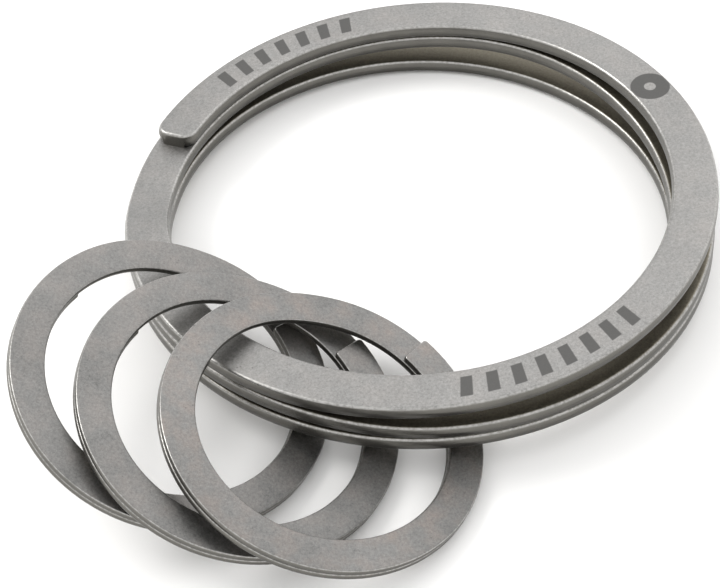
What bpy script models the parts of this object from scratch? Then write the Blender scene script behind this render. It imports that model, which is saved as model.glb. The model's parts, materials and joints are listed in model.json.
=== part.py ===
"""Split key ring with three small split rings linked through it.

Every ring is a flat steel strip wound edgeways. The large ring has about three turns. Its lowest turn lies
in one plane and its top turn in another, slightly tilted one, so the coil is a wedge: shut on one side and
sprung open on the other. The middle turn waves between the two. The first part of the top turn is a lever:
pressing it over the open side rocks it on the middle turn and lifts its free end, so that a key goes on.
The small rings have two turns each. They lie on each other like fallen dominoes, each one over the large
ring on one side and under it on the other, with their lowest rims on the table.

Steel doesn't bend in this model, so a strip is divided where it flexes, and the springy end is a piece of
its own that turns about a hinge line there.

Units are metres, +Z is up, and the set stands on z = 0 with the middle of its outline at the origin.
"""

import math

import bmesh
import bpy
from mathutils import Matrix, Vector

MM = 0.001

# Large ring: strip
LARGE_OUTER_RADIUS = 17.5 * MM
LARGE_STRIP_WIDTH = 2.6 * MM
LARGE_STRIP_THICKNESS = 0.85 * MM
LARGE_EDGE_CHAMFER = 0.12 * MM
LARGE_TURN_CLEARANCE = 0.05 * MM
LARGE_END_CORNER = 0.7 * MM

# Large ring: how the strip is wound. Angles along the strip run clockwise from its upper end, seen from above.
LARGE_UPPER_END_AZIMUTH = 158.0
WEDGE_ANGLE = 3.2
WEDGE_AZIMUTH = 8.0
STEP_DOWN_START = 325.0
STEP_DOWN_LENGTH = 23.0
LARGE_LOWER_END = 1043.0
WAVE_LEAVES_TOP = 73.0
WAVE_REACHES_BOTTOM = 184.0
WAVE_LEAVES_BOTTOM = 243.0
WAVE_REACHES_TOP = 298.0

# Large ring: the lever at its upper end
LEVER_LENGTH = 140.0
LEVER_PIVOT = 86.0
DIVISION_GAP = 0.3 * MM

# Large ring: how it lies, its back on the table and its front edge held up by the small rings under it
PROP_AZIMUTH = 75.0
PROP_ROOM = 1.226 * MM

# Small rings: strip and winding
SMALL_OUTER_RADIUS = 9.15 * MM
SMALL_STRIP_WIDTH = 1.95 * MM
SMALL_STRIP_THICKNESS = 0.4 * MM
SMALL_EDGE_CHAMFER = 0.06 * MM
SMALL_TURN_CLEARANCE = 0.04 * MM
SMALL_END_CORNER = 0.2 * MM
SMALL_STEP_DOWN_START = 272.0
SMALL_STEP_DOWN_LENGTH = 50.0
SMALL_LOWER_END = 618.0
SMALL_FREE_END_LENGTH = 60.0

# Small rings: name, azimuth of the centre, how far its hole reaches past the large ring's coil towards the
# middle, lean towards the middle, room left for the coil between its two sides, and azimuth of the upper end
SMALL_RINGS = (
    ("front", -108.6, 4.4 * MM, 3.1, 0.838 * MM, 159.6),
    ("middle", -123.2, 3.4 * MM, 6.6, 0.693 * MM, 166.7),
    ("left", -136.1, 2.6 * MM, 10.7, 0.372 * MM, 177.1),
)

# Facets
LARGE_FACET_ANGLE = 6.0
SMALL_FACET_ANGLE = 9.0
CORNER_FACETS = 3


LARGE_PITCH = LARGE_STRIP_THICKNESS + LARGE_TURN_CLEARANCE
SMALL_PITCH = SMALL_STRIP_THICKNESS + SMALL_TURN_CLEARANCE


def ease(value):
    """Rise smoothly from 0 to 1 as the value goes from 0 to 1."""
    return 0.5 - 0.5 * math.cos(math.pi * min(max(value, 0.0), 1.0))


def large_underside(travel, radius):
    """Height of the large strip's underside above the plane of its lowest turn."""
    slope = math.tan(math.radians(WEDGE_ANGLE))
    mean_radius = LARGE_OUTER_RADIUS - 0.5 * LARGE_STRIP_WIDTH
    from_open_side = math.radians(LARGE_UPPER_END_AZIMUTH - travel - WEDGE_AZIMUTH)
    top = 2.0 * LARGE_PITCH + slope * (mean_radius + radius * math.cos(from_open_side))
    turn, along = divmod(travel, 360.0)
    step_down = ease((along - STEP_DOWN_START) / STEP_DOWN_LENGTH)
    if turn < 1:
        return top - LARGE_PITCH * step_down
    if turn < 2:
        falling = ease((along - WAVE_LEAVES_TOP) / (WAVE_REACHES_BOTTOM - WAVE_LEAVES_TOP))
        rising = ease((along - WAVE_LEAVES_BOTTOM) / (WAVE_REACHES_TOP - WAVE_LEAVES_BOTTOM))
        on_bottom = falling * (1.0 - rising)
        waved = (top - LARGE_PITCH) * (1.0 - on_bottom) + LARGE_PITCH * on_bottom
        return waved * (1.0 - step_down)
    return 0.0


def small_underside(travel, radius):
    """Height of a small strip's underside above the plane of its lower turn."""
    return SMALL_PITCH * (1.0 - ease((travel - SMALL_STEP_DOWN_START) / SMALL_STEP_DOWN_LENGTH))


LARGE_STRIP = {
    "outer": LARGE_OUTER_RADIUS,
    "width": LARGE_STRIP_WIDTH,
    "thickness": LARGE_STRIP_THICKNESS,
    "chamfer": LARGE_EDGE_CHAMFER,
    "corner": LARGE_END_CORNER,
    "facet": LARGE_FACET_ANGLE,
    "start_azimuth": LARGE_UPPER_END_AZIMUTH,
    "underside": large_underside,
}

SMALL_STRIP = {
    "outer": SMALL_OUTER_RADIUS,
    "width": SMALL_STRIP_WIDTH,
    "thickness": SMALL_STRIP_THICKNESS,
    "chamfer": SMALL_EDGE_CHAMFER,
    "corner": SMALL_END_CORNER,
    "facet": SMALL_FACET_ANGLE,
    "start_azimuth": 0.0,
    "underside": small_underside,
}


def mean_radius(strip):
    return strip["outer"] - 0.5 * strip["width"]


def angle_of(strip, length):
    """Angle in degrees that a length takes up along the middle of a strip."""
    return math.degrees(length / mean_radius(strip))


def stations(strip, start, end, round_start, round_end):
    """Angles along a strip, each with how far the strip's edges are drawn in there by a rounded end."""
    corner = angle_of(strip, strip["corner"])
    rounding = []
    for index in range(CORNER_FACETS):
        turned = 0.5 * math.pi * index / CORNER_FACETS
        rounding.append((corner * (1.0 - math.cos(turned)), strip["corner"] * (1.0 - math.sin(turned))))
    first = start + corner if round_start else start
    last = end - corner if round_end else end
    count = max(1, round((last - first) / strip["facet"]))
    middle = [(first + (last - first) * index / count, 0.0) for index in range(count + 1)]
    head = [(start + away, inset) for away, inset in rounding] if round_start else []
    tail = [(end - away, inset) for away, inset in reversed(rounding)] if round_end else []
    return head + middle + tail


def section(strip, travel, inset):
    """Outline of the strip across its length: a flat bar with its four edges broken."""
    inner = strip["outer"] - strip["width"] + inset
    outer = strip["outer"] - inset
    height = strip["thickness"]
    edge = strip["chamfer"]
    outline = (
        (inner + edge, 0.0), (outer - edge, 0.0), (outer, edge), (outer, height - edge),
        (outer - edge, height), (inner + edge, height), (inner, height - edge), (inner, edge),
    )
    azimuth = math.radians(strip["start_azimuth"] - travel)
    points = []
    for radius, above in outline:
        z = strip["underside"](travel, radius) + above
        points.append(Vector((radius * math.cos(azimuth), radius * math.sin(azimuth), z)))
    return points


def strip_mesh(name, strip, start, end, round_start=False, round_end=False):
    """Closed mesh of a strip between two angles along it."""
    bm = bmesh.new()
    rings = []
    for travel, inset in stations(strip, start, end, round_start, round_end):
        rings.append([bm.verts.new(point) for point in section(strip, travel, inset)])
    for ring, following in zip(rings, rings[1:]):
        for index in range(len(ring)):
            after = (index + 1) % len(ring)
            bm.faces.new((ring[index], ring[after], following[after], following[index]))
    bm.faces.new(rings[0])
    bm.faces.new(rings[-1])
    bmesh.ops.recalc_face_normals(bm, faces=bm.faces)
    mesh = bpy.data.meshes.new(name)
    bm.to_mesh(mesh)
    bm.free()
    mesh.shade_smooth()
    mesh.set_sharp_from_angle(angle=math.radians(30.0))
    return mesh


def steel(name, colour, roughness):
    """Bare stainless steel."""
    material = bpy.data.materials.new(name)
    material.use_nodes = True
    shader = material.node_tree.nodes["Principled BSDF"]
    shader.inputs["Base Color"].default_value = (*colour, 1.0)
    shader.inputs["Metallic"].default_value = 1.0
    shader.inputs["Roughness"].default_value = roughness
    return material


def add_empty(name, parent, placing):
    """A place to hang pieces on, given in its parent's frame."""
    empty = bpy.data.objects.new(name, None)
    empty.empty_display_size = 5.0 * MM
    bpy.context.scene.collection.objects.link(empty)
    empty.parent = parent
    empty.matrix_local = placing
    return empty


def add_piece(name, mesh, material, parent, origin=Matrix()):
    """A piece whose mesh is drawn in its parent's frame, with its own origin moved to a hinge."""
    mesh.transform(origin.inverted())
    mesh.materials.append(material)
    piece = bpy.data.objects.new(name, mesh)
    bpy.context.scene.collection.objects.link(piece)
    piece.parent = parent
    piece.matrix_local = origin
    return piece


def hinge_frame(strip, travel):
    """Frame with its X axis outward along the strip's underside at an angle along the strip."""
    azimuth = math.radians(strip["start_azimuth"] - travel)
    outward = []
    for radius in (0.0, strip["outer"]):
        z = strip["underside"](travel, radius)
        outward.append(Vector((radius * math.cos(azimuth), radius * math.sin(azimuth), z)))
    centre, rim = outward
    x_axis = (rim - centre).normalized()
    y_axis = Vector((0.0, 0.0, 1.0)).cross(x_axis).normalized()
    z_axis = x_axis.cross(y_axis)
    turned = Matrix((x_axis, y_axis, z_axis)).transposed().to_4x4()
    return Matrix.Translation(centre.lerp(rim, mean_radius(strip) / strip["outer"])) @ turned


def turn_about(azimuth, angle):
    """Rotation by an angle in degrees about the level line at an azimuth in degrees."""
    line = Vector((math.cos(math.radians(azimuth)), math.sin(math.radians(azimuth)), 0.0))
    return Matrix.Rotation(math.radians(angle), 4, line)


def build_large_ring():
    """The large ring's coil and lever, on a frame whose Z axis is the ring's own axis."""
    front_height = 2.0 * SMALL_PITCH + PROP_ROOM
    prop_angle = math.degrees(math.asin(0.5 * front_height / LARGE_OUTER_RADIUS))
    placing = Matrix.Translation((0.0, 0.0, 0.5 * front_height)) @ turn_about(PROP_AZIMUTH + 90.0, prop_angle)
    frame = add_empty("large_ring_frame", None, placing)
    metal = steel("steel_large_ring", (0.36, 0.36, 0.355), 0.36)
    coil_start = LEVER_LENGTH + angle_of(LARGE_STRIP, DIVISION_GAP)
    coil = strip_mesh("large_ring_coil", LARGE_STRIP, coil_start, LARGE_LOWER_END, round_end=True)
    add_piece("large_ring_coil", coil, metal, frame)
    lever_metal = steel("steel_lever", (0.38, 0.38, 0.375), 0.36)
    lever = strip_mesh("large_ring_lever", LARGE_STRIP, 0.0, LEVER_LENGTH, round_start=True)
    pivot = hinge_frame(LARGE_STRIP, LEVER_PIVOT)
    add_piece("large_ring_lever", lever, lever_metal, frame, pivot)
    return frame


def small_ring_placing(azimuth, hole_reach, lean, room, spin):
    """Where a small ring lies: the underside of its lower turn, with its lowest rim on the table.

    It is tilted far enough for the coil to pass under it on one side and over it on the other.
    """
    hole = SMALL_OUTER_RADIUS - SMALL_STRIP_WIDTH
    reach = LARGE_OUTER_RADIUS - LARGE_STRIP_WIDTH + hole - hole_reach
    crossing = math.sqrt(hole**2 - (hole - hole_reach) ** 2)
    rise = 0.5 * (3.0 * LARGE_PITCH + 2.0 * SMALL_PITCH + room)
    tilt = math.degrees(math.asin(rise / crossing))
    turned = Matrix.Rotation(math.radians(azimuth), 4, "Z")
    turned = turned @ Matrix.Rotation(math.radians(-lean), 4, "Y")
    turned = turned @ Matrix.Rotation(math.radians(-tilt), 4, "X")
    turned = turned @ Matrix.Rotation(math.radians(spin), 4, "Z")
    normal = turned.to_3x3() @ Vector((0.0, 0.0, 1.0))
    height = SMALL_OUTER_RADIUS * math.sqrt(1.0 - normal.z ** 2)
    outward = math.radians(azimuth)
    centre = Vector((reach * math.cos(outward), reach * math.sin(outward), height))
    return Matrix.Translation(centre) @ turned


def build_small_ring(name, placing, travel_frame):
    """One small ring: its coil, and the free end of its lower turn."""
    frame = add_empty(f"small_ring_{name}_frame", travel_frame, travel_frame.matrix_world.inverted() @ placing)
    metal = steel(f"steel_small_ring_{name}", (0.34, 0.335, 0.325), 0.42)
    division = SMALL_LOWER_END - SMALL_FREE_END_LENGTH
    coil_end = division - angle_of(SMALL_STRIP, DIVISION_GAP)
    coil = strip_mesh(f"small_ring_{name}_coil", SMALL_STRIP, 0.0, coil_end, round_start=True)
    add_piece(f"small_ring_{name}_coil", coil, metal, frame)
    end_metal = steel(f"steel_small_ring_{name}_end", (0.37, 0.365, 0.355), 0.42)
    end = strip_mesh(f"small_ring_{name}_end", SMALL_STRIP, division, SMALL_LOWER_END, round_end=True)
    add_piece(f"small_ring_{name}_end", end, end_metal, frame, hinge_frame(SMALL_STRIP, division))


def stand_at_origin(root):
    """Move the set so that its lowest point is at z = 0 and the middle of its outline is at the origin."""
    bpy.context.view_layer.update()
    corners = []
    for piece in bpy.context.scene.objects:
        if piece.type == "MESH":
            corners.extend(piece.matrix_world @ vertex.co for vertex in piece.data.vertices)
    low = Vector(min(corner[axis] for corner in corners) for axis in range(3))
    high = Vector(max(corner[axis] for corner in corners) for axis in range(3))
    middle = (low + high) * 0.5
    root.matrix_world = Matrix.Translation((-middle.x, -middle.y, -low.z)) @ root.matrix_world
    bpy.context.view_layer.update()


def main():
    for old in list(bpy.data.objects):
        bpy.data.objects.remove(old)
    large_frame = build_large_ring()
    bpy.context.view_layer.update()
    travel_frame = large_frame
    for name, azimuth, hole_reach, lean, room, spin in SMALL_RINGS:
        travel_frame = add_empty(f"small_ring_{name}_travel", travel_frame, Matrix())
        bpy.context.view_layer.update()
        build_small_ring(name, small_ring_placing(azimuth, hole_reach, lean, room, spin), travel_frame)
    stand_at_origin(large_frame)


main()
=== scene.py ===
"""Split key ring with three small split rings: strips of wound and tumbled steel, on a table.

Lengths are in metres and +Z is up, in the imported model's own frame.
"""

import json
import math

import bmesh
import bpy
from bpy.props import FloatProperty, FloatVectorProperty, IntProperty, PointerProperty
from mathutils import Matrix, Vector


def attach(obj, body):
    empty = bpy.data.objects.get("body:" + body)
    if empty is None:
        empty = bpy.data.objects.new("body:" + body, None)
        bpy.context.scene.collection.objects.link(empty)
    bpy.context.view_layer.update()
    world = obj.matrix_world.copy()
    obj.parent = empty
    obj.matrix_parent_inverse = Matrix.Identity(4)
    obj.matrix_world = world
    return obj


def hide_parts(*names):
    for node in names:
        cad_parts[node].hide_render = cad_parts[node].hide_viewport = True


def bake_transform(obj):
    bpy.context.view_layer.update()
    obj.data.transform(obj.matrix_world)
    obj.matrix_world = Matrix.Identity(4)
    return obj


bl_info = {
    "name": "Split key ring",
    "version": (1, 0, 0),
    "blender": (4, 5, 0),
    "location": "3D View > Sidebar > Key ring",
    "description": "Winds a large split ring and the small split rings on it from flat steel strip",
    "category": "Add Mesh",
}

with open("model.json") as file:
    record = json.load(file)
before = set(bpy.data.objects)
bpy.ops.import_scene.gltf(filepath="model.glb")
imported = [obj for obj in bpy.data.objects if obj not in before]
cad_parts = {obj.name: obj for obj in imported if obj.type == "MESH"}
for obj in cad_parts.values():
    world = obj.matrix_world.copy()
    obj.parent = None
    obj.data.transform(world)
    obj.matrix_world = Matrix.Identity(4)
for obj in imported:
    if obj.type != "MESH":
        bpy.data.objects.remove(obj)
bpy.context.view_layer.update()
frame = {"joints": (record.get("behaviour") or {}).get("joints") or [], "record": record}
JOINTS = {joint["name"]: joint for joint in frame["joints"]}
MOUNTS = {mount["name"]: mount for mount in frame["record"]["mounts"]}

MM = 0.001
DEGREE = math.radians(1.0)
TURN = 2.0 * math.pi
QUARTER_TURN = 0.25 * TURN

# Each ring's steel: how warm, how mottled, and how bright beside the large ring's.
LARGE_RING_LOOK = (0.2, 0.45, 1.0)
SMALL_RING_LOOKS = {
    "front": (1.0, 1.0, 0.78),
    "middle": (0.55, 1.0, 0.78),
    "left": (0.45, 1.0, 0.78),
}


def length(name, description, default):
    return FloatProperty(
        name=name, description=description, default=default, unit="LENGTH", precision=5
    )


def angle(name, description, degrees):
    return FloatProperty(
        name=name, description=description, default=degrees * DEGREE, subtype="ANGLE"
    )


def share(name, description, default):
    return FloatProperty(
        name=name, description=description, default=default, min=0.0, max=1.0, subtype="FACTOR"
    )


def power(name, description, default):
    return FloatProperty(name=name, description=description, default=default, unit="POWER")


def count(name, description, default):
    return IntProperty(name=name, description=description, default=default, min=0)


def colour(name, description, default):
    return FloatVectorProperty(
        name=name, description=description, default=default, min=0.0, subtype="COLOR"
    )


def point(name, description, default):
    return FloatVectorProperty(
        name=name, description=description, default=default, subtype="TRANSLATION"
    )


class LargeRingSizes(bpy.types.PropertyGroup):
    """The large ring's strip and its winding; angles run clockwise from its upper end."""

    outer_radius: length("Outer radius", "Radius of the ring's outside", 17.5 * MM)
    strip_width: length("Strip width", "Width of the strip across the ring", 2.6 * MM)
    strip_thickness: length("Strip thickness", "Thickness of the strip", 0.87 * MM)
    pitch: length("Pitch", "Height from a turn's underside to the next where shut", 0.9 * MM)
    edge_radius: length("Edge radius", "Rounding of the strip's long edges", 0.21 * MM)
    wall_bulge: length("Wall bulge", "How far the sides stand proud in the middle", 0.05 * MM)
    end_corner: length("End corner", "Rounding of the strip's ends, seen from above", 0.85 * MM)
    upper_end: angle("Upper end", "Direction of the upper end from the ring's middle", 158.0)
    wedge_angle: angle("Wedge angle", "How far the top turn is tilted off the lowest", 3.2)
    wedge_azimuth: angle("Wedge direction", "Direction of the coil's open side", 8.0)
    step_start: angle("Step down from", "Where a turn begins to step down to the next", 325.0)
    step_length: angle("Step down length", "How long the step down is", 23.0)
    lower_end: angle("Lower end", "Where the strip ends", 1043.0)
    wave_leaves_top: angle("Wave leaves top", "Where the middle turn leaves the top one", 73.0)
    wave_reaches_bottom: angle("Wave reaches bottom", "Where it lies on the lowest turn", 184.0)
    wave_leaves_bottom: angle("Wave leaves bottom", "Where it leaves the lowest turn", 243.0)
    wave_reaches_top: angle("Wave reaches top", "Where it is back under the top turn", 298.0)
    flexing_end: angle("Flexing length", "How far along the strip the pressed end goes", 218.0)
    bend_reach: length("Bend reach", "How far past the middle the pressed end bends", 14.2 * MM)
    facet: angle("Facet", "Angle between the strip's cross-sections", 2.0)


class SmallRingSizes(bpy.types.PropertyGroup):
    """A small ring's strip and its winding; angles run clockwise from its upper end."""

    outer_radius: length("Outer radius", "Radius of the ring's outside", 9.15 * MM)
    strip_width: length("Strip width", "Width of the strip across the ring", 1.95 * MM)
    strip_thickness: length("Strip thickness", "Thickness of the strip", 0.425 * MM)
    pitch: length("Pitch", "Height from the lower turn's underside to the upper's", 0.44 * MM)
    edge_radius: length("Edge radius", "Rounding of the strip's long edges", 0.09 * MM)
    wall_bulge: length("Wall bulge", "How far the sides stand proud in the middle", 0.03 * MM)
    end_corner: length("End corner", "Rounding of the strip's ends, seen from above", 0.22 * MM)
    step_start: angle("Step down from", "Where the upper turn begins to step down", 272.0)
    step_length: angle("Step down length", "How long the step down is", 50.0)
    lower_end: angle("Lower end", "Where the strip ends", 618.0)
    hinge: angle("Flex line", "Where the free end flexes", 558.0)
    flexing_start: angle("Flexing start", "Where the sprung free end begins", 500.0)
    bend_before: length("Bend before", "How far on the tip's side the end bends", 2.6 * MM)
    bend_after: length("Bend after", "How far on the ring's side the end bends", 2.4 * MM)
    facet: angle("Facet", "Angle between the strip's cross-sections", 3.0)


class SteelFinish(bpy.types.PropertyGroup):
    """Tumbled stainless steel, with painted shade on the sides and between the turns and a painted
    highlight on the edges.
    """

    face: colour("Face", "Rolled face of the strip", (0.250, 0.248, 0.243))
    # Side: the sheared side's own darker steel, darkened further as painted shade for the dark
    # reflections on the sides.
    wall: colour("Side", "Sheared side of the strip", (0.118, 0.114, 0.104))
    # Colour of faces that meet another turn or face down: painted shade between the turns, on steel
    # hardly reached by tumbling, with an olive tint.
    covered_painted_shade: colour("Covered", "Faces that meet, hardly reached by tumbling", (0.155, 0.142, 0.113))
    # Edge: burnished by tumbling, its brighter colour partly wear and partly a painted highlight
    # along the rounded edges.
    edge: colour("Edge", "Edges burnished by tumbling", (0.46, 0.455, 0.445))
    warm: colour("Warm tint", "Faint warm clouding", (0.258, 0.231, 0.215))
    etched: colour("Etched", "Dark laser-etched marks and pits", (0.098, 0.097, 0.095))
    face_roughness: share("Face roughness", "Roughness of the faces", 0.44)
    wall_roughness: share("Side roughness", "Roughness of the sides", 0.3)
    grain: length("Grain", "Size of the tumbled grain", 0.16 * MM)
    cloud: length("Clouding", "Size of the cloudy tone changes", 1.6 * MM)
    pit_spacing: length("Pit spacing", "Distance from one possible pit to the next", 0.55 * MM)
    pit_darkness: share("Pit darkness", "How dark the pits are", 0.55)
    streak_width: length("Streak width", "Width of the sides' rolling streaks", 0.11 * MM)
    streak: share("Streak", "How much finer the streaks are across than along", 0.12)
    run_per_degree: length("Run per degree", "Length of strip in one degree of a ring", 0.2 * MM)
    grain_tone: share("Grain tone", "How far the grain changes the tone", 0.9)
    speckle_tone: share("Speckle tone", "How far the finest grain changes the tone", 0.5)
    cloud_tone: share("Cloud tone", "How far the clouding changes the tone", 0.62)
    drift_tone: share("Drift tone", "How far the widest clouding changes the tone", 0.5)
    streak_tone: share("Streak tone", "How far the streaks change the sides' tone", 0.8)
    relief: length("Relief", "Depth of the fine relief", 0.02 * MM)
    relief_strength: share("Relief strength", "Strength of the fine relief", 0.32)


class EtchedMarks(bpy.types.PropertyGroup):
    """Plain marks on the upper face: a disc where to press, and two rows of bars."""

    disc_angle: angle("Disc angle", "Where the disc lies along the strip", 129.9)
    disc_across: share("Disc across", "Where the disc lies across the strip", 0.5)
    disc_radius: length("Disc radius", "Radius of the disc", 1.2 * MM)
    dot_radius: length("Dot radius", "Radius of the bare dot in the disc", 0.36 * MM)
    first_row: angle("First row", "Middle of the row of bars near the upper end", 36.5)
    first_bars: count("First row's bars", "Number of bars in that row", 7)
    second_row: angle("Second row", "Middle of the row of bars past the disc", 221.5)
    second_bars: count("Second row's bars", "Number of bars in that row", 8)
    bar_pitch: angle("Bar pitch", "Angle from one bar to the next", 5.2)
    bar_slant: angle("Bar slant", "How far a bar's outer end lies past its inner end", 1.4)
    bar_width: share("Bar width", "Width of a bar as a share of the pitch", 0.46)
    bar_from: share("Bar from", "Inner end of a bar across the strip", 0.23)
    bar_to: share("Bar to", "Outer end of a bar across the strip", 0.77)
    darkness: share("Darkness", "How dark the marks are", 0.93)
    roughness: share("Roughness", "Roughness of the marks", 0.6)


class StageSettings(bpy.types.PropertyGroup):
    """Table, lights and camera."""

    floor: colour("Table", "Colour of the table", (0.9, 0.9, 0.9))
    sky: colour("Room", "Light from all round", (1.0, 0.995, 0.985))
    sky_strength: FloatProperty(
        name="Room strength", description="Strength of the light from all round", default=1.28
    )
    key_power: power("Key power", "Power of the key light", 1.3)
    key_size: length("Key size", "Side of the key light", 0.24)
    key_place: point("Key place", "Place of the key light", (-0.38, 0.12, 0.38))
    key_tint: colour("Key tint", "Colour of the key light", (1.0, 0.985, 0.96))
    back_power: power("Back power", "Power of the broad back light", 0.85)
    back_size: length("Back size", "Side of the back light", 0.6)
    back_place: point("Back place", "Place of the back light", (0.17, 0.38, 0.44))
    back_tint: colour("Back tint", "Colour of the back light", (1.0, 0.99, 0.98))
    lens: FloatProperty(
        name="Lens", description="Focal length in millimetres", default=110.0, unit="CAMERA"
    )
    camera: point("Camera", "Place of the camera", (3.700 * MM, -86.507 * MM, 98.034 * MM))
    heading: angle("Heading", "Direction of view, anticlockwise from +Y", 3.21)
    down: angle("Down", "How far down the camera looks", 48.505)
    roll: angle("Roll", "Turn of the camera about its line of sight", -4.278)


def ease(value):
    """Rise smoothly from 0 to 1 as the value goes from 0 to 1."""
    return 0.5 - 0.5 * math.cos(math.pi * min(max(value, 0.0), 1.0))


class Strip:
    """A ring's strip: its sizes, the direction that it starts in and its mean radius.

    Its underside method gives the underside's height at an angle along it and a radius.
    """

    def __init__(self, sizes, start_azimuth):
        self.sizes = sizes
        self.start_azimuth = start_azimuth
        self.mean_radius = sizes.outer_radius - 0.5 * sizes.strip_width


class LargeStrip(Strip):
    """The top turn is tilted off the flat lowest one, and the middle turn waves between them."""

    def underside(self, travel, radius):
        s = self.sizes
        open_side = s.upper_end - travel - s.wedge_azimuth
        rise = math.tan(s.wedge_angle) * (self.mean_radius + radius * math.cos(open_side))
        top = 2.0 * s.pitch + rise
        turn, along = divmod(travel, TURN)
        step_down = ease((along - s.step_start) / s.step_length)
        if turn < 1:
            return top - s.pitch * step_down
        if turn < 2:
            fall = s.wave_reaches_bottom - s.wave_leaves_top
            climb = s.wave_reaches_top - s.wave_leaves_bottom
            fallen = ease((along - s.wave_leaves_top) / fall)
            climbed = ease((along - s.wave_leaves_bottom) / climb)
            on_bottom = fallen * (1.0 - climbed)
            height = (top - s.pitch) * (1.0 - on_bottom) + s.pitch * on_bottom
            return height * (1.0 - step_down)
        return 0.0


class SmallStrip(Strip):
    """Two flat turns, with one step down between them."""

    def underside(self, travel, radius):
        s = self.sizes
        return s.pitch * (1.0 - ease((travel - s.step_start) / s.step_length))


ARC_STEPS = 5  # faces round a strip's rounded edge
FACE_STEPS = 4  # faces across its upper or lower face
WALL_STEPS = 3  # faces up its side
CORNER_STEPS = 9  # cross-sections round its end's corner
SIDE_POINTS = 2 * (ARC_STEPS + 1) + WALL_STEPS - 1
FACE_POINTS = FACE_STEPS - 1
SHARP_ANGLE = 50.0 * DEGREE
FINISH_KEYS = ("along", "across", "height", "upper", "side", "edge")


def outline(sizes):
    """Points round the strip's section, anticlockwise from the lower outer edge.

    Each is (inset, side, height, upper, wall, edge): how far in from the strip's rim, which
    side it is on (0 inner, 1 outer, or between), its height, and how much of the upper face,
    of a side and of a rounded edge it is.
    """
    rounding, thickness = sizes.edge_radius, sizes.strip_thickness
    low, high = rounding, thickness - rounding
    corners = ((1.0, low, -1), (1.0, high, 0), (0.0, high, 1), (0.0, low, 2))
    points = []
    for index, (side, middle, quarters) in enumerate(corners):
        for step in range(ARC_STEPS + 1):
            turned = (quarters + step / ARC_STEPS) * QUARTER_TURN
            on_side = abs(math.cos(turned))
            height = middle + rounding * math.sin(turned)
            upper = max(math.sin(turned), 0.0)
            on_edge = math.sin(math.pi * step / ARC_STEPS)
            points.append((rounding * (1.0 - on_side), side, height, upper, on_side, on_edge))
        next_side, next_middle, _ = corners[(index + 1) % 4]
        if side == next_side:
            for step in range(1, WALL_STEPS):
                up = step / WALL_STEPS
                proud = sizes.wall_bulge * math.sin(math.pi * up)
                height = middle + (next_middle - middle) * up
                points.append((-proud, side, height, 0.0, 1.0, 0.0))
        else:
            on_top = 1.0 if side > next_side else 0.0
            for step in range(1, FACE_STEPS):
                across = side + (next_side - side) * step / FACE_STEPS
                points.append((rounding, across, thickness * on_top, on_top, 0.0, 0.0))
    return points


def stations(strip, start, end, round_start, round_end):
    """Cross-sections of a strip between two angles along it, as (along, turned, way).

    At a rounded end the section narrows round a quarter circle: turned is how far round it
    is, and way is -1 towards the strip's start, 1 towards its end and 0 between.
    """
    corner = strip.sizes.end_corner / strip.mean_radius
    first = start + corner if round_start else start
    last = end - corner if round_end else end
    steps = max(1, round((last - first) / strip.sizes.facet))
    turns = [QUARTER_TURN * step / CORNER_STEPS for step in range(CORNER_STEPS)]
    before = [(first, turned, -1.0) for turned in turns] if round_start else []
    after = [(last, turned, 1.0) for turned in reversed(turns)] if round_end else []
    full = [(first + (last - first) * step / steps, QUARTER_TURN, 0.0) for step in range(steps + 1)]
    return before + full + after


def section_at(strip, station, section):
    """Place of each point of the section at a station, and its values for FINISH_KEYS."""
    sizes = strip.sizes
    along, turned, way = station
    for rim_inset, side, height, upper, wall, edge in section:
        reach = sizes.end_corner - rim_inset
        travel = along + way * reach * math.cos(turned) / strip.mean_radius
        inset = sizes.end_corner - reach * math.sin(turned)
        across = inset + side * (sizes.strip_width - 2.0 * inset)
        radius = sizes.outer_radius - sizes.strip_width + across
        azimuth = strip.start_azimuth - travel
        z = strip.underside(travel, radius) + height
        place = (radius * math.cos(azimuth), radius * math.sin(azimuth), z)
        yield place, (math.degrees(travel), across / sizes.strip_width, height, upper, wall, edge)


def cap(bm, ring, reverse):
    """Close a rounded end with a ladder of faces from one side's points to the other's."""
    outer = ring[:SIDE_POINTS]
    top = ring[SIDE_POINTS : SIDE_POINTS + FACE_POINTS]
    inner = ring[SIDE_POINTS + FACE_POINTS : 2 * SIDE_POINTS + FACE_POINTS][::-1]
    bottom = ring[2 * SIDE_POINTS + FACE_POINTS :]
    for step in range(SIDE_POINTS - 1):
        above = top if step == SIDE_POINTS - 2 else []
        below = bottom if step == 0 else []
        face = [outer[step], outer[step + 1], *above, inner[step + 1], inner[step], *below]
        bm.faces.new(face[::-1] if reverse else face)


def strip_mesh(name, strip, start, end, round_start=False, round_end=False):
    """Closed mesh of a strip between two angles along it, with its finish on its points."""
    section = outline(strip.sizes)
    bm = bmesh.new()
    layers = [bm.verts.layers.float.new(key) for key in FINISH_KEYS]
    rings = []
    for station in stations(strip, start, end, round_start, round_end):
        ring = []
        for place, values in section_at(strip, station, section):
            vertex = bm.verts.new(place)
            for layer, value in zip(layers, values):
                vertex[layer] = value
            ring.append(vertex)
        rings.append(ring)
    for ring, following in zip(rings, rings[1:]):
        for index in range(len(ring)):
            after = (index + 1) % len(ring)
            bm.faces.new((ring[index], ring[after], following[after], following[index]))
    for ring, rounded, reverse in ((rings[0], round_start, True), (rings[-1], round_end, False)):
        if rounded:
            cap(bm, ring, reverse)
        else:
            bm.faces.new(ring)
    bmesh.ops.recalc_face_normals(bm, faces=bm.faces)
    mesh = bpy.data.meshes.new(name)
    bm.to_mesh(mesh)
    bm.free()
    mesh.shade_smooth()
    mesh.set_sharp_from_angle(angle=SHARP_ANGLE)
    return mesh


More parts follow.
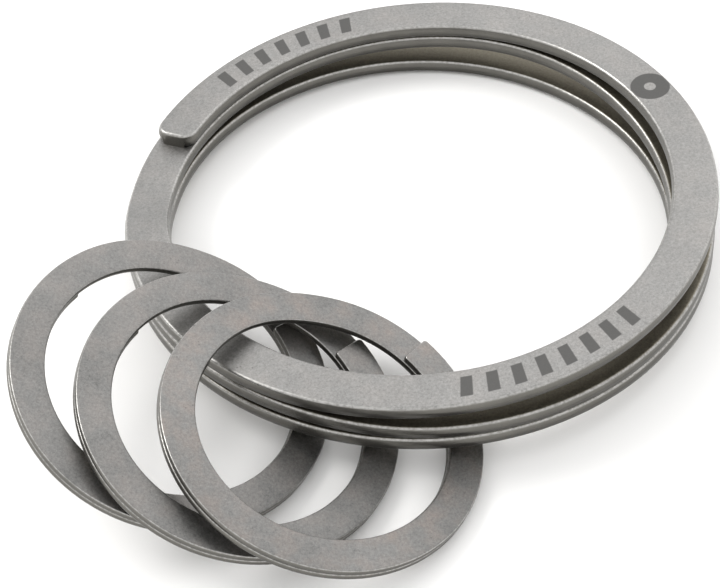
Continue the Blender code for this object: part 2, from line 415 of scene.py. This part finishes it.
def add_piece(mesh, placing, material):
    """A piece named like its mesh, which goes from a ring's own frame to the model's."""
    mesh.transform(placing)
    mesh.materials.append(material)
    piece = bpy.data.objects.new(mesh.name, mesh)
    bpy.context.scene.collection.objects.link(piece)
    return piece


def overload(operation):
    """An operator and its reflected form, which add a Math node."""

    def operator(self, other):
        return self.maths(operation, self, other)

    def reflected(self, other):
        return self.maths(operation, other, self)

    return operator, reflected


class Wire:
    """A shader value; arithmetic on it adds Math nodes."""

    def __init__(self, graph, socket):
        self.graph = graph
        self.socket = socket

    def maths(self, operation, *values):
        return self.graph.node("ShaderNodeMath", {"operation": operation}, values)

    __add__, __radd__ = overload("ADD")
    __sub__, __rsub__ = overload("SUBTRACT")
    __mul__, __rmul__ = overload("MULTIPLY")
    __pow__, __rpow__ = overload("POWER")

    def maximum(self, other):
        return self.maths("MAXIMUM", self, other)

    def fraction(self):
        return self.maths("FRACT", self)

    def rise(self, low, high):
        """0 before low, 1 past high, straight between; low may be the larger of the two."""
        limits = {"Value": self, "From Min": low, "From Max": high}
        return self.graph.node("ShaderNodeMapRange", {"clamp": True}, limits)

    def below(self, limit, soft):
        """1 below the limit and 0 above it, with a soft edge."""
        return self.rise(limit + soft, limit - soft)

    def between(self, low, high, soft):
        """1 from low to high and 0 elsewhere, with soft edges."""
        return self.rise(low - soft, low + soft) * self.below(high, soft)

    def swing(self, amount):
        """Swing about 0 of a pattern that lies about one half."""
        return amount * (self - 0.5)

    def toward(self, other, factor):
        """From this value to the other as the factor goes from 0 to 1."""
        return self * (1.0 - factor) + other * factor


class Graph:
    """The node tree of one material."""

    def __init__(self, name):
        self.material = bpy.data.materials.new(name)
        self.material.use_nodes = True
        self.tree = self.material.node_tree
        self.shader = self.tree.nodes["Principled BSDF"]

    def feed(self, inputs, values):
        """Link or set sockets, from a dictionary or in their order."""
        for key, value in values.items() if isinstance(values, dict) else enumerate(values):
            if isinstance(value, Wire):
                self.tree.links.new(value.socket, inputs[key])
            else:
                inputs[key].default_value = value

    def node(self, kind, settings, values, output=0):
        """A new node with its settings, then its sockets' values or links."""
        made = self.tree.nodes.new(kind)
        for key, value in settings.items():
            setattr(made, key, value)
        self.feed(made.inputs, values)
        return Wire(self, made.outputs[output])

    def mix(self, factor, first, second, blend="MIX"):
        """Mix of two colours, at the Mix node's own colour sockets."""
        first, second = (c if isinstance(c, Wire) else (*c, 1.0) for c in (first, second))
        settings = {"data_type": "RGBA", "blend_type": blend}
        return self.node("ShaderNodeMix", settings, {0: factor, 6: first, 7: second}, output=2)

    def attribute(self, name):
        return self.node("ShaderNodeAttribute", {"attribute_name": name}, {}, output="Fac")

    def noise(self, place, size, detail, roughness=0.55):
        values = {"Vector": place, "Scale": 1.0 / size, "Detail": detail, "Roughness": roughness}
        return self.node("ShaderNodeTexNoise", {}, values)


SPECKLE_SIZE = 0.45  # the finest grain's size beside the grain's
DRIFT_SIZE = 4.0  # the widest clouding's size beside the clouding's
PIT_RIM = (0.13, 0.06)  # distance from a pit's middle, in pit spacings
PITTED = (0.5, 0.62)  # where the widest clouding lets pits show
WARM_CLOUD = (0.42, 0.72)
IS_SIDE = (0.35, 0.9)
IS_EDGE = (0.5, 0.95)
IS_UPPER = (0.9, 0.99)
NOT_BELOW = (0.0, 0.4)
PAST_FIRST_TURN = (361.0, 372.0)  # degrees along the strip
SIDE_TONE = 0.925
SIDE_CLOUD_TONE = 0.35
# Painted light: the side is lighter near its top and darker as painted shade towards its foot by
# the next turn.
SIDE_PAINTED_SHADING = 1.1  # how much lighter the side is at its top than at its foot
GRAIN_ROUGHNESS = 0.16
CLOUD_ROUGHNESS = 0.1
STREAK_ROUGHNESS = 0.2
EDGE_POLISH = 0.25

ROW_END_SOFTNESS = 0.001  # share of the bars' pitch
BAR_SIDE_SOFTNESS = 0.02  # share of the bars' pitch
BAR_END_SOFTNESS = 0.01  # share of the strip's width
DISC_SOFTNESS = 0.02 * MM


def bar_row(along, across, middle, bars, marks):
    """Mask of a row of plain slanted bars across the strip."""
    pitch = math.degrees(marks.bar_pitch)
    start = math.degrees(middle) - 0.5 * pitch * bars
    slanted = (along - across.swing(math.degrees(marks.bar_slant)) - start) * (1.0 / pitch)
    half = 0.5 * marks.bar_width
    bar = slanted.fraction().between(0.5 - half, 0.5 + half, BAR_SIDE_SOFTNESS)
    ends = across.between(marks.bar_from, marks.bar_to, BAR_END_SOFTNESS)
    return bar * ends * slanted.between(0.0, bars, ROW_END_SOFTNESS)


def etched_mask(graph, sizes, marks):
    """Mask of the dark marks on the large ring's upper face."""
    along = graph.attribute("along")
    across = graph.attribute("across")
    radius = sizes.outer_radius - sizes.strip_width * (1.0 - marks.disc_across)
    sideways = (along - math.degrees(marks.disc_angle)) * (radius * DEGREE)
    outward = (across - marks.disc_across) * sizes.strip_width
    distance = (sideways * sideways + outward * outward) ** 0.5
    disc = distance.below(marks.disc_radius, DISC_SOFTNESS)
    dot = distance.below(marks.dot_radius, DISC_SOFTNESS)
    first = bar_row(along, across, marks.first_row, marks.first_bars, marks)
    second = bar_row(along, across, marks.second_row, marks.second_bars, marks)
    upper = graph.attribute("upper").rise(*IS_UPPER)
    return (disc * (1.0 - dot) + first + second) * upper


def tumbled_steel(name, finish, sizes, look, marks=None):
    """Stainless strip tumbled with stones: speckled grain, faint clouding, burnished edges with a
    painted highlight, painted shade on the sides and between the turns.

    Its look is how warm, how mottled and how bright it is. Every pattern lies about one half.
    """
    warmth, mottling, brightness = look
    graph = Graph(name)
    along, across = graph.attribute("along"), graph.attribute("across")
    height, upper = graph.attribute("height"), graph.attribute("upper")
    side, edge = graph.attribute("side"), graph.attribute("edge")
    place = graph.node("ShaderNodeTexCoord", {}, {}, output="Object")
    grain = graph.noise(place, finish.grain, 3.0, 0.65)
    speckle = graph.noise(place, SPECKLE_SIZE * finish.grain, 1.0)
    cloud = graph.noise(place, finish.cloud, 4.0, 0.6)
    drift = graph.noise(place, DRIFT_SIZE * finish.cloud, 2.0)
    run = along * (finish.run_per_degree * finish.streak)
    strip_place = graph.node("ShaderNodeCombineXYZ", {}, (run, across, height))
    streak = graph.noise(strip_place, finish.streak_width, 3.0, 0.6)
    cells = {"Vector": place, "Scale": 1.0 / finish.pit_spacing}
    pit = graph.node("ShaderNodeTexVoronoi", {}, cells).rise(*PIT_RIM) * drift.rise(*PITTED)

    # Where the side is, where another turn covers the strip and painted shade goes, and where its
    # edges show wear and get a painted highlight.
    is_side = side.rise(*IS_SIDE)
    beneath = along.rise(*PAST_FIRST_TURN)
    # Painted shade: top faces past the first turn and the undersides, under and between the turns,
    # but not the sides.
    covered_painted_shade = beneath.maximum(1.0 - upper.rise(*NOT_BELOW)) * (1.0 - is_side)
    worn_and_sheen = edge.rise(*IS_EDGE) * (0.35 + 0.65 * grain.rise(0.4, 0.6)) * (0.5 + 0.5 * cloud)

    face_tone = 1.0 + grain.swing(finish.grain_tone) + speckle.swing(finish.speckle_tone)
    clouds = cloud.swing(finish.cloud_tone) + drift.swing(finish.drift_tone)
    face_tone = (face_tone + mottling * clouds) * brightness
    up_the_side = height * (1.0 / sizes.strip_thickness)
    side_tone = SIDE_TONE + streak.swing(finish.streak_tone) + cloud.swing(SIDE_CLOUD_TONE)
    # Painted light on the side: lighter towards its top, painted shade towards its foot.
    side_tone = side_tone * (1.0 + up_the_side.swing(SIDE_PAINTED_SHADING))
    tone = face_tone.toward(side_tone, is_side)
    grey = graph.node("ShaderNodeCombineColor", {}, (tone, tone, tone))

    base = graph.mix(cloud.rise(*WARM_CLOUD) * warmth, finish.face, finish.warm)
    # Sides get the side colour, partly their own and partly painted shade; faces under other turns
    # get the painted shade colour.
    base = graph.mix(is_side, graph.mix(covered_painted_shade, base, finish.covered_painted_shade), finish.wall)
    base = graph.mix(1.0, base, grey, "MULTIPLY")
    # Edges: burnished wear with a painted highlight.
    base = graph.mix(worn_and_sheen, base, finish.edge)
    base = graph.mix(pit * finish.pit_darkness, base, finish.etched)
    roughness = grain.swing(GRAIN_ROUGHNESS) + cloud.swing(CLOUD_ROUGHNESS)
    side_roughness = finish.wall_roughness + streak.swing(STREAK_ROUGHNESS)
    roughness = (finish.face_roughness + roughness).toward(side_roughness, is_side)
    roughness = roughness * (1.0 - EDGE_POLISH * worn_and_sheen)
    if marks is not None:
        etched = etched_mask(graph, sizes, marks)
        base = graph.mix(etched * marks.darkness, base, finish.etched)
        roughness = roughness.toward(marks.roughness, etched)
    bump = {
        "Strength": finish.relief_strength,
        "Distance": finish.relief,
        "Height": 0.6 * grain + 0.3 * speckle - pit,
    }
    normal = graph.node("ShaderNodeBump", {}, bump)
    values = {"Base Color": base, "Roughness": roughness, "Normal": normal, "Metallic": 1.0}
    graph.feed(graph.shader.inputs, values)
    return graph.material


def large_ring_frame():
    """The large ring's own frame: its axis is the one the small rings travel about."""
    travel = JOINTS["front_ring_travel"]
    tilt = Vector((0.0, 0.0, 1.0)).rotation_difference(Vector(travel["axis"]))
    return Matrix.Translation(Vector(travel["pos_m"])) @ tilt.to_matrix().to_4x4()


def small_ring_frame(name, strip):
    """A small ring's own frame, from its flat face and the line its free end flexes about."""
    joint = JOINTS[f"{name}_end_open"]
    up = Vector(MOUNTS[f"{name}_ring_face"]["axis"]).normalized()
    outward = Vector(joint["axis"])
    outward = (outward - up * outward.dot(up)).normalized()
    centre = Vector(joint["pos_m"]) - outward * strip.mean_radius
    turned = Matrix((outward, up.cross(outward), up)).transposed().to_4x4()
    return Matrix.Translation(centre) @ turned @ Matrix.Rotation(strip.sizes.hinge, 4, "Z")


def spot(placing, radius, azimuth):
    """Point in the model's frame at a radius and azimuth of a ring's frame."""
    return placing @ Vector((radius * math.cos(azimuth), radius * math.sin(azimuth), 0.0))


class KEYRING_OT_large_ring(bpy.types.Operator):
    """Wind the large ring, its pressed end bending over the rest of the coil"""

    bl_idname = "keyring.large_ring"
    bl_label = "Large ring"

    def execute(self, context):
        scene = context.scene
        sizes = scene.large_ring_sizes
        strip = LargeStrip(sizes, sizes.upper_end)
        placing = large_ring_frame()
        finish, marks = scene.steel_finish, scene.etched_marks
        steel = tumbled_steel("large_ring_steel", finish, sizes, LARGE_RING_LOOK, marks)
        division = sizes.flexing_end

        mesh = strip_mesh("large_ring_upper", strip, 0.0, division, round_start=True)
        upper = add_piece(mesh, placing, steel)
        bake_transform(upper)
        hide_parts("large_ring_lever", "large_ring_coil")

        mesh = strip_mesh("large_ring_turns", strip, division, sizes.lower_end, round_end=True)
        rest = add_piece(mesh, placing, steel)
        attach(rest, "large_ring")
        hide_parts("large_ring_coil")
        return {"FINISHED"}


class KEYRING_OT_small_rings(bpy.types.Operator):
    """Wind the three small rings, each with the sprung free end of its lower turn"""

    bl_idname = "keyring.small_rings"
    bl_label = "Small rings"

    def execute(self, context):
        scene = context.scene
        sizes = scene.small_ring_sizes
        strip = SmallStrip(sizes, 0.0)
        division = sizes.flexing_start
        for name, look in SMALL_RING_LOOKS.items():
            ring, node = f"{name}_ring", f"small_ring_{name}"
            placing = small_ring_frame(name, strip)
            steel = tumbled_steel(f"{ring}_steel", scene.steel_finish, sizes, look)

            mesh = strip_mesh(f"{ring}_turns", strip, 0.0, division, round_start=True)
            turns = add_piece(mesh, placing, steel)
            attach(turns, ring)
            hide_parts(f"{node}_coil")

            mesh = strip_mesh(f"{ring}_free_end", strip, division, sizes.lower_end, round_end=True)
            tail = add_piece(mesh, placing, steel)
            tip = spot(placing, strip.mean_radius, -sizes.lower_end)
            root = spot(placing, strip.mean_radius, -sizes.hinge)
            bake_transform(tail)
            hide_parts(f"{node}_end", f"{node}_coil")
        return {"FINISHED"}


TABLE_REACH = 1.5
TABLE_DROP = 0.01 * MM
TABLE_ROUGHNESS = 0.9
TABLE_GLOSS = 0.1
LIT_POINT = (0.0, 0.0, 3.0 * MM)
SENSOR_WIDTH = 36.0


def add_table(scene, floor):
    graph = Graph("table")
    finish = {
        "Base Color": (*floor, 1.0),
        "Roughness": TABLE_ROUGHNESS,
        "Specular IOR Level": TABLE_GLOSS,
    }
    graph.feed(graph.shader.inputs, finish)
    corners = [(x * TABLE_REACH, y * TABLE_REACH) for x, y in ((-1, -1), (1, -1), (1, 1), (-1, 1))]
    mesh = bpy.data.meshes.new("table")
    mesh.from_pydata([(x, y, -TABLE_DROP) for x, y in corners], [], [(0, 1, 2, 3)])
    mesh.materials.append(graph.material)
    table = bpy.data.objects.new("table", mesh)
    scene.collection.objects.link(table)


def add_room_light(scene, tint, strength):
    world = bpy.data.worlds.new("room")
    world.use_nodes = True
    background = world.node_tree.nodes["Background"]
    background.inputs["Color"].default_value = (*tint, 1.0)
    background.inputs["Strength"].default_value = strength
    scene.world = world


def add_area_light(scene, name, place, size, energy, tint):
    light = bpy.data.lights.new(name, "AREA")
    light.shape = "SQUARE"
    light.size = size
    light.energy = energy
    light.color = tint
    lamp = bpy.data.objects.new(name, light)
    scene.collection.objects.link(lamp)
    lamp.location = place
    towards = Vector(LIT_POINT) - Vector(place)
    lamp.rotation_euler = towards.to_track_quat("-Z", "Y").to_euler()


def add_camera(scene, stage):
    camera = bpy.data.cameras.new("camera")
    camera.lens = stage.lens
    camera.sensor_width = SENSOR_WIDTH
    camera.clip_start = 0.01
    camera.clip_end = 10.0
    viewer = bpy.data.objects.new("camera", camera)
    scene.collection.objects.link(viewer)
    turn = Matrix.Rotation(stage.heading, 4, "Z")
    turn = turn @ Matrix.Rotation(QUARTER_TURN - stage.down, 4, "X")
    turn = turn @ Matrix.Rotation(stage.roll, 4, "Z")
    viewer.matrix_world = Matrix.Translation(Vector(stage.camera)) @ turn
    scene.camera = viewer


class KEYRING_OT_stage(bpy.types.Operator):
    """Set the table, the soft lights and the camera"""

    bl_idname = "keyring.stage"
    bl_label = "Stage"

    def execute(self, context):
        scene = context.scene
        stage = scene.stage_settings
        scene.view_settings.view_transform = "Standard"
        add_table(scene, stage.floor)
        add_room_light(scene, stage.sky, stage.sky_strength)
        for name in ("key", "back"):
            place, size, energy, tint = (
                getattr(stage, f"{name}_{part}") for part in ("place", "size", "power", "tint")
            )
            add_area_light(scene, f"{name}_light", place, size, energy, tint)
        add_camera(scene, stage)
        return {"FINISHED"}


class KEYRING_PT_panel(bpy.types.Panel):
    """The key ring's sizes and finishes, and a button for each group of pieces"""

    bl_idname = "KEYRING_PT_panel"
    bl_label = "Key ring"
    bl_space_type = "VIEW_3D"
    bl_region_type = "UI"
    bl_category = "Key ring"

    def draw(self, context):
        layout = self.layout
        for owner in SETTINGS:
            group = getattr(context.scene, owner)
            box = layout.box()
            box.label(text=owner.replace("_", " ").capitalize())
            for key in group.__annotations__:
                box.prop(group, key)
        for operator in OPERATORS:
            layout.operator(operator.bl_idname)


SETTINGS = {
    "large_ring_sizes": LargeRingSizes,
    "small_ring_sizes": SmallRingSizes,
    "steel_finish": SteelFinish,
    "etched_marks": EtchedMarks,
    "stage_settings": StageSettings,
}
OPERATORS = (KEYRING_OT_large_ring, KEYRING_OT_small_rings, KEYRING_OT_stage)
CLASSES = (*SETTINGS.values(), *OPERATORS, KEYRING_PT_panel)


def register():
    for cls in CLASSES:
        bpy.utils.register_class(cls)
    for owner, cls in SETTINGS.items():
        setattr(bpy.types.Scene, owner, PointerProperty(type=cls))


def unregister():
    for owner in SETTINGS:
        delattr(bpy.types.Scene, owner)
    for cls in reversed(CLASSES):
        bpy.utils.unregister_class(cls)


def main():
    register()
    bpy.ops.keyring.large_ring()
    bpy.ops.keyring.small_rings()
    bpy.ops.keyring.stage()


if __name__ == "__main__":
    main()
